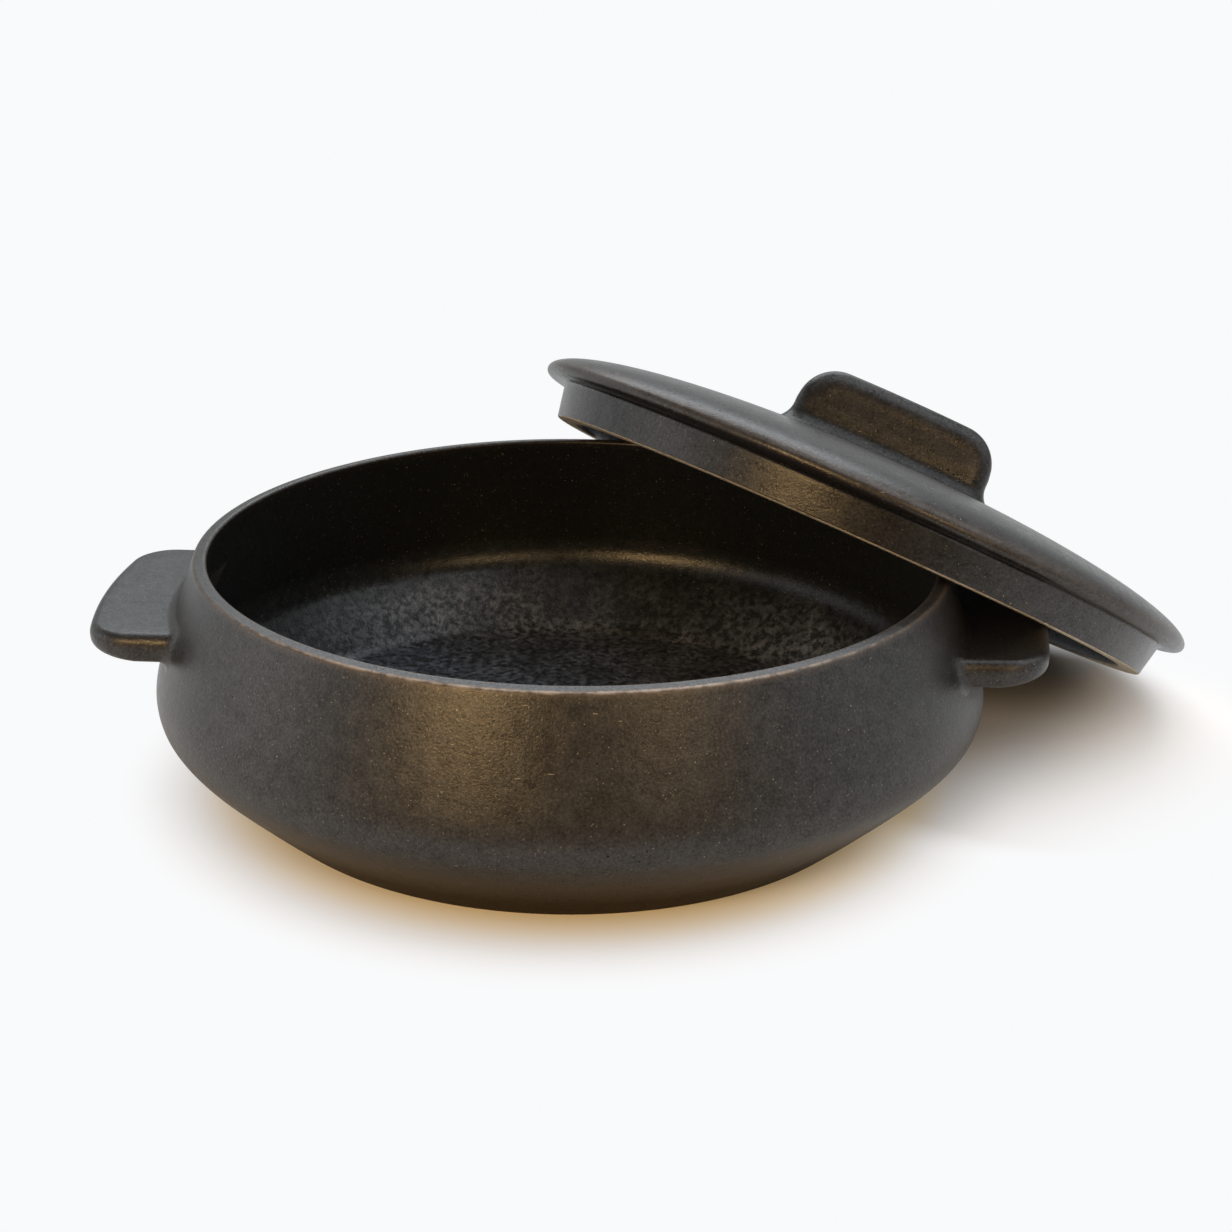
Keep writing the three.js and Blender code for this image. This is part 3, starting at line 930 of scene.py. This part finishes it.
# The card further off as the glaze mirrors it
mirrored_card = nodes.new("ShaderNodeEmission")
mirrored_card.inputs["Color"].default_value = (*MIRRORED_WHITE, 1.0)
off_front = away_from((0.0, CARD_FRONT, 0.0), *MIRRORED_REACH)
mirrored = card_share("MULTIPLY", seen.outputs["Is Glossy Ray"], off_front)
card_surface = card_mix(mirrored, plain_card.outputs["BSDF"], mirrored_card.outputs["Emission"])
card_surface = card_mix(seen.outputs["Is Camera Ray"], card_surface, shown_card)
links.new(card_surface, nodes["Material Output"].inputs["Surface"])
card.data.materials.append(card_finish)

# Studio light
# A pale room that is bright low down, dimmer overhead and on the photographer's side.
# Three broad cool lights hang behind and above. A weak pale one stands at the left, and two small
# warm lamps stand either side of the camera.
ROOM_SIDES = (0.88, 0.92, 0.95)
ROOM_BACK_WAY = (0.25, 0.968, 0.0)
ROOM_BACK = (0.42, 0.43, 0.43)
ROOM_BACK_HIGH = (0.75, 0.77, 0.8)
ROOM_FRONT = (0.46, 0.33, 0.2)
ROOM_HIGH = (0.24, 0.23, 0.22)
ROOM_UNDER = (0.2, 0.17, 0.14)
FRONT_SPAN = (-0.85, -0.3)
BACK_SPAN = (0.4, 0.6)
BACK_RISE = (0.15, 0.5)
HIGH_RISE = (0.45, 0.75)
UNDER_RISE = (-0.1, 0.05)

world = bpy.data.worlds.new("room")
world.use_nodes = True
bpy.context.scene.world = world
# From here on eased and tone_between make their nodes in the room
nodes, links = world.node_tree.nodes, world.node_tree.links
way = nodes.new("ShaderNodeTexCoord")


def room_blend(value, span, under, over):
    """Colour of the room that runs smoothly from one to another as a value rises through a span."""
    return tone_between(eased(value, *span), under, over)


part_way = nodes.new("ShaderNodeSeparateXYZ")
links.new(way.outputs["Generated"], part_way.inputs["Vector"])
room = room_blend(part_way.outputs["Y"], FRONT_SPAN, ROOM_FRONT, ROOM_SIDES)
back = room_blend(part_way.outputs["Z"], BACK_RISE, ROOM_BACK, ROOM_BACK_HIGH)
behind = nodes.new("ShaderNodeVectorMath")
behind.operation = "DOT_PRODUCT"
behind.inputs[1].default_value = ROOM_BACK_WAY
links.new(way.outputs["Generated"], behind.inputs[0])
room = room_blend(behind.outputs["Value"], BACK_SPAN, room, back)
room = room_blend(part_way.outputs["Z"], HIGH_RISE, room, ROOM_HIGH)
room = room_blend(part_way.outputs["Z"], UNDER_RISE, ROOM_UNDER, room)
looked_at = nodes.new("ShaderNodeLightPath")
room = room_blend(looked_at.outputs["Is Camera Ray"], (0.0, 1.0), room, FAR_WHITE)
links.new(room, nodes["Background"].inputs["Color"])


def lamp(name, place, aim, size, power, colour):
    """Soft rectangular lamp that faces a point."""
    light = bpy.data.lights.new(name, "AREA")
    light.shape = "RECTANGLE"
    light.size, light.size_y = size
    light.energy = power
    light.color = colour
    stand = bpy.data.objects.new(name, light)
    stand.location = place
    stand.rotation_euler = (Vector(aim) - Vector(place)).to_track_quat("-Z", "Y").to_euler()
    bpy.context.scene.collection.objects.link(stand)


lamp("cool_behind", (-0.02, 0.79, 1.04), (0.0, 0.0, 0.06), (1.25, 0.95), 10.4, (0.89, 0.94, 0.98))
lamp("cool_above_right", (0.56, -0.02, 0.95), (0.0, 0.0, 0.03), (0.9, 0.9), 3.9, (0.88, 0.94, 1.0))
lamp("cool_overhead", (0.0, -0.12, 1.15), (0.0, 0.0, 0.05), (0.8, 0.36), 1.1, (0.87, 0.94, 1.0))
lamp("pale_left", (-1.15, -0.12, 0.24), (0.0, 0.0, 0.05), (0.5, 0.3), 0.6, (1.0, 0.93, 0.86))
lamp("warm_left", (-0.4, -0.83, 0.42), (0.0, 0.0, 0.05), (0.34, 0.2), 4.0, (1.0, 0.64, 0.28))
lamp("warm_right", (0.5, -0.84, 0.48), (0.0, 0.0, 0.05), (0.22, 0.18), 1.6, (1.0, 0.68, 0.34))

# Camera
# It looks down at the pot from a little above the lip, a touch to the right of square to the lugs.
# It is rolled by about a degree, so that the right side of the pot lies lower in the picture.
PICTURE = 1232
SENSOR = 36.0
FOCAL_PIXELS = 2400.0
DOWN = radians(20.98)
ROLL = radians(0.98)
ROUND = radians(2.0)
DISTANCE = 0.7067
ASIDE = 0.01343
ABOVE = 0.04519

onward = Vector((0.0, cos(DOWN), -sin(DOWN)))
upward = Vector((0.0, sin(DOWN), cos(DOWN)))
level = Vector((1.0, 0.0, 0.0))
right = level * cos(ROLL) + upward * sin(ROLL)
top = upward * cos(ROLL) - level * sin(ROLL)
stand_at = right * ASIDE + top * ABOVE - onward * DISTANCE
camera_data = bpy.data.cameras.new("camera")
camera_data.sensor_width = SENSOR
camera_data.lens = SENSOR * FOCAL_PIXELS / PICTURE
camera_data.clip_start = 0.01
camera = bpy.data.objects.new("camera", camera_data)
turn_round = Matrix.Rotation(ROUND, 4, "Z")
facing_axes = Matrix((right, top, -onward)).transposed().to_4x4()
camera.matrix_world = turn_round @ Matrix.Translation(stand_at) @ facing_axes
bpy.context.scene.collection.objects.link(camera)
bpy.context.scene.camera = camera
bpy.context.scene.view_settings.view_transform = "Standard"
